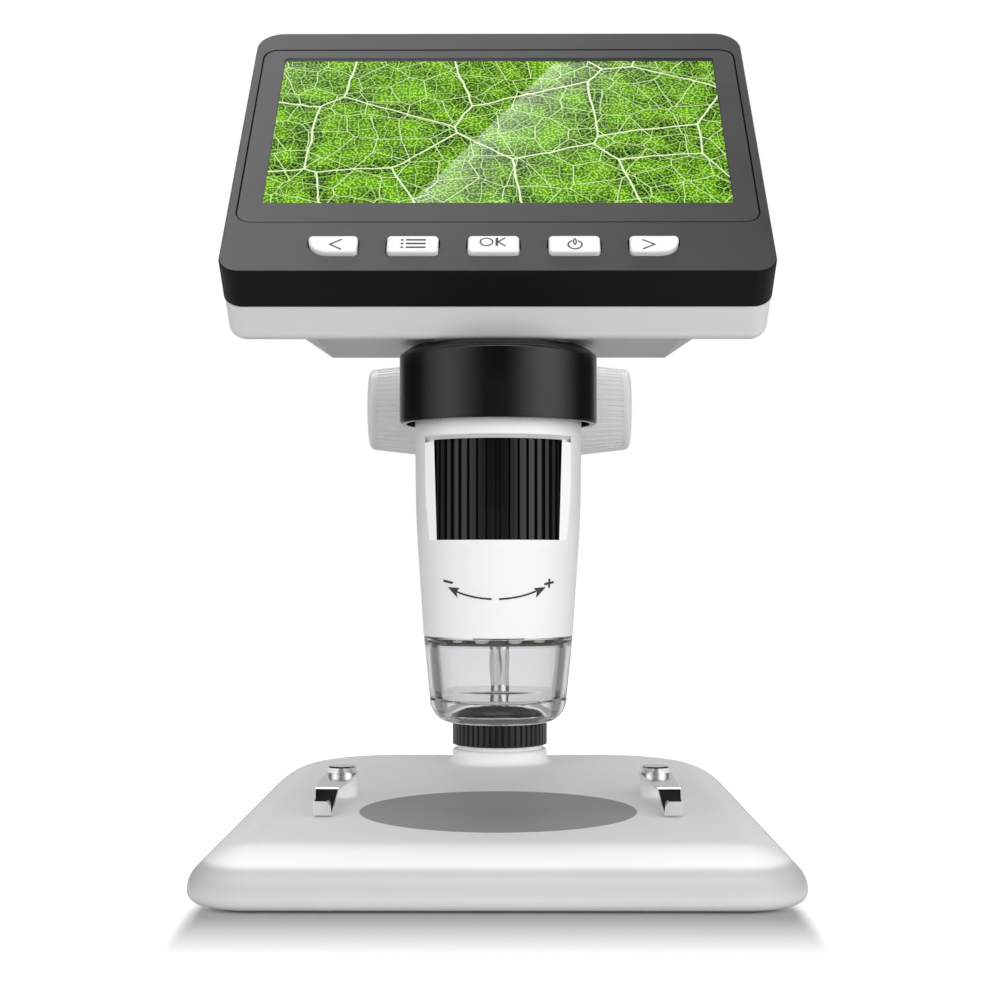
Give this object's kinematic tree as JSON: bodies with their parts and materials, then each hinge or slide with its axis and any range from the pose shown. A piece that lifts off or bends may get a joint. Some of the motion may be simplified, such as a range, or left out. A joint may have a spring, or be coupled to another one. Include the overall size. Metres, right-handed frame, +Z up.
{
  "type": "lcd digital microscope",
  "caption": "Desktop digital microscope: tilted screen head with a key row over a white tube with a clear light shade, held by a rack and pinion stand on a flat base.",
  "frame": {"origin": "centre of the base's footprint, on the surface it stands on", "axes": "+Z up along the column, -Y towards the user (the side the screen faces), +X to the right as seen from the front"},
  "size_m": [0.1138, 0.1594, 0.1808],
  "materials": {
    "white_shell": "satin moulded",
    "steel_plate": "zinc plated",
    "screw_steel": "bright",
    "rubber_black": "matt",
    "stage_grey": "fine speckled",
    "chrome": "polished",
    "black_gloss": "glossy",
    "black_plastic": "fine matt",
    "natural_plastic": "natural",
    "pad_fibre": "dull",
    "shaft_steel": "ground",
    "barrel_metal": "black anodised",
    "lens_glass": "coated",
    "board_green": "solder resist",
    "board_white": "white solder resist",
    "ribbon": "polyimide film",
    "lamp": "clear domed",
    "shade_clear": "clear polished",
    "bezel_grey": "satin charcoal",
    "window_clear": "clear polished",
    "mask_black": "printed black",
    "display_glass": "lit picture",
    "display_metal": "stamped",
    "switch_metal": "satin",
    "socket_metal": "bright",
    "case_light": "satin",
    "battery_sleeve": "plastic sleeve"
  },
  "bodies": {
    "stand": {"base_shell": "white_shell", "base_plate": "steel_plate", "base_screws": "screw_steel", "column_screw": "screw_steel", "rubber_feet": "rubber_black", "stage_disc": "stage_grey", "clip_studs": "chrome", "column": "chrome", "column_cap": "black_plastic", "stop_ring": "rubber_black"},
    "clip_left": {"clip_left": "chrome"},
    "clip_right": {"clip_right": "chrome"},
    "compression_ring": {"compression_ring": "natural_plastic"},
    "lock_nut": {"lock_nut": "black_plastic"},
    "carriage": {"carriage": "black_plastic", "bushings": "natural_plastic", "friction_pad": "pad_fibre", "tension_screw": "screw_steel", "holder_ring": "black_gloss", "arm_screws": "screw_steel"},
    "pinion": {"pinion_shaft": "shaft_steel", "knob_left": "white_shell", "knob_right": "white_shell"},
    "seat_washer": {"seat_washer": "rubber_black"},
    "focus_wheel": {"focus_wheel": "black_plastic"},
    "lens": {"lens_barrel": "barrel_metal", "front_lens": "lens_glass"},
    "button_left": {"button_left": "white_shell"},
    "button_menu": {"button_menu": "white_shell"},
    "button_ok": {"button_ok": "white_shell"},
    "button_power": {"button_power": "white_shell"},
    "button_right": {"button_right": "white_shell"},
    "dimmer_wheel": {"dimmer_wheel": "black_plastic"},
    "microscope": {"tube_shell": "white_shell", "neck_cap": "black_plastic", "wheel_retainer": "black_plastic", "guide_sleeve": "black_plastic", "sensor_board": "board_green", "sensor_ribbon": "ribbon", "lamp_board": "board_white", "lamps": "lamp", "light_shade": "shade_clear", "front_bezel": "bezel_grey", "screen_window": "window_clear", "window_mask": "mask_black", "display_cell": "display_glass", "display_frame": "display_metal", "main_board": "board_green", "tact_switches": "switch_metal", "usb_socket": "socket_metal", "card_slot": "socket_metal", "dimmer_pot": "switch_metal", "battery": "battery_sleeve", "battery_cradles": "black_plastic", "battery_cover": "case_light", "cover_screws": "screw_steel", "rear_case": "case_light", "case_screws": "screw_steel"}
  },
  "joints": [
    {"name": "carriage_slide", "type": "slide", "parent": "stand", "child": "carriage", "axis": [0, 0, 1], "range_m": [-0.018, 0.038]},
    {"name": "pinion_turn", "type": "hinge", "parent": "carriage", "child": "pinion", "pos_m": [0, 0.046, 0.0999], "axis": [1, 0, 0], "range_deg": [-400, 190]},
    {"name": "ring_rise", "type": "slide", "parent": "stand", "child": "compression_ring", "axis": [0, 0, 1], "range_m": [0, 0.000375]},
    {"name": "nut_turn", "type": "hinge", "parent": "compression_ring", "child": "lock_nut", "pos_m": [0, 0.0545, 0.018], "axis": [0, 0, 1], "range_deg": [0, 91]},
    {"name": "clip_left_swing", "type": "hinge", "parent": "stand", "child": "clip_left", "pos_m": [-0.0341, -0.009, 0.0155], "axis": [0, 0, 1], "range_deg": [-15, 35]},
    {"name": "clip_right_swing", "type": "hinge", "parent": "stand", "child": "clip_right", "pos_m": [0.0341, -0.009, 0.0155], "axis": [0, 0, -1], "range_deg": [-15, 35]},
    {"name": "lift_out", "type": "slide", "parent": "carriage", "child": "seat_washer", "axis": [0, 0, 1], "range_m": [0, 0.08]},
    {"name": "swivel", "type": "hinge", "parent": "seat_washer", "child": "microscope", "pos_m": [0, -0.0295, 0.1], "axis": [0, 0, 1], "range_deg": [-90, 90]},
    {"name": "focus_turn", "type": "hinge", "parent": "microscope", "child": "focus_wheel", "pos_m": [0, -0.0295, 0.0765], "axis": [0, 0, 1], "range_deg": [-91, 91]},
    {"name": "lens_slide", "type": "slide", "parent": "microscope", "child": "lens", "axis": [0, 0, 1], "range_m": [-0.002, 0.002]},
    {"name": "dimmer_turn", "type": "hinge", "parent": "microscope", "child": "dimmer_wheel", "pos_m": [0.0479, -0.01281, 0.14782], "axis": [0, -0.7478, 0.6639], "range_deg": [-135, 135]},
    {"name": "press_left", "type": "slide", "parent": "microscope", "child": "button_left", "axis": [0, 0.7478, -0.6639], "range_m": [0, 0.0004], "stiffness_N_per_m": 800, "springref_m": -0.0005},
    {"name": "press_menu", "type": "slide", "parent": "microscope", "child": "button_menu", "axis": [0, 0.7478, -0.6639], "range_m": [0, 0.0004], "stiffness_N_per_m": 800, "springref_m": -0.0005},
    {"name": "press_ok", "type": "slide", "parent": "microscope", "child": "button_ok", "axis": [0, 0.7478, -0.6639], "range_m": [0, 0.0004], "stiffness_N_per_m": 800, "springref_m": -0.0005},
    {"name": "press_power", "type": "slide", "parent": "microscope", "child": "button_power", "axis": [0, 0.7478, -0.6639], "range_m": [0, 0.0004], "stiffness_N_per_m": 800, "springref_m": -0.0005},
    {"name": "press_right", "type": "slide", "parent": "microscope", "child": "button_right", "axis": [0, 0.7478, -0.6639], "range_m": [0, 0.0004], "stiffness_N_per_m": 800, "springref_m": -0.0005}
  ],
  "couplings": [
    {"joint": "pinion_turn", "follows": "carriage_slide", "rad_per_m": -178.57},
    {"joint": "nut_turn", "follows": "ring_rise", "rad_per_m": 4188.8},
    {"joint": "focus_turn", "follows": "lens_slide", "rad_per_m": 785.4}
  ]
}
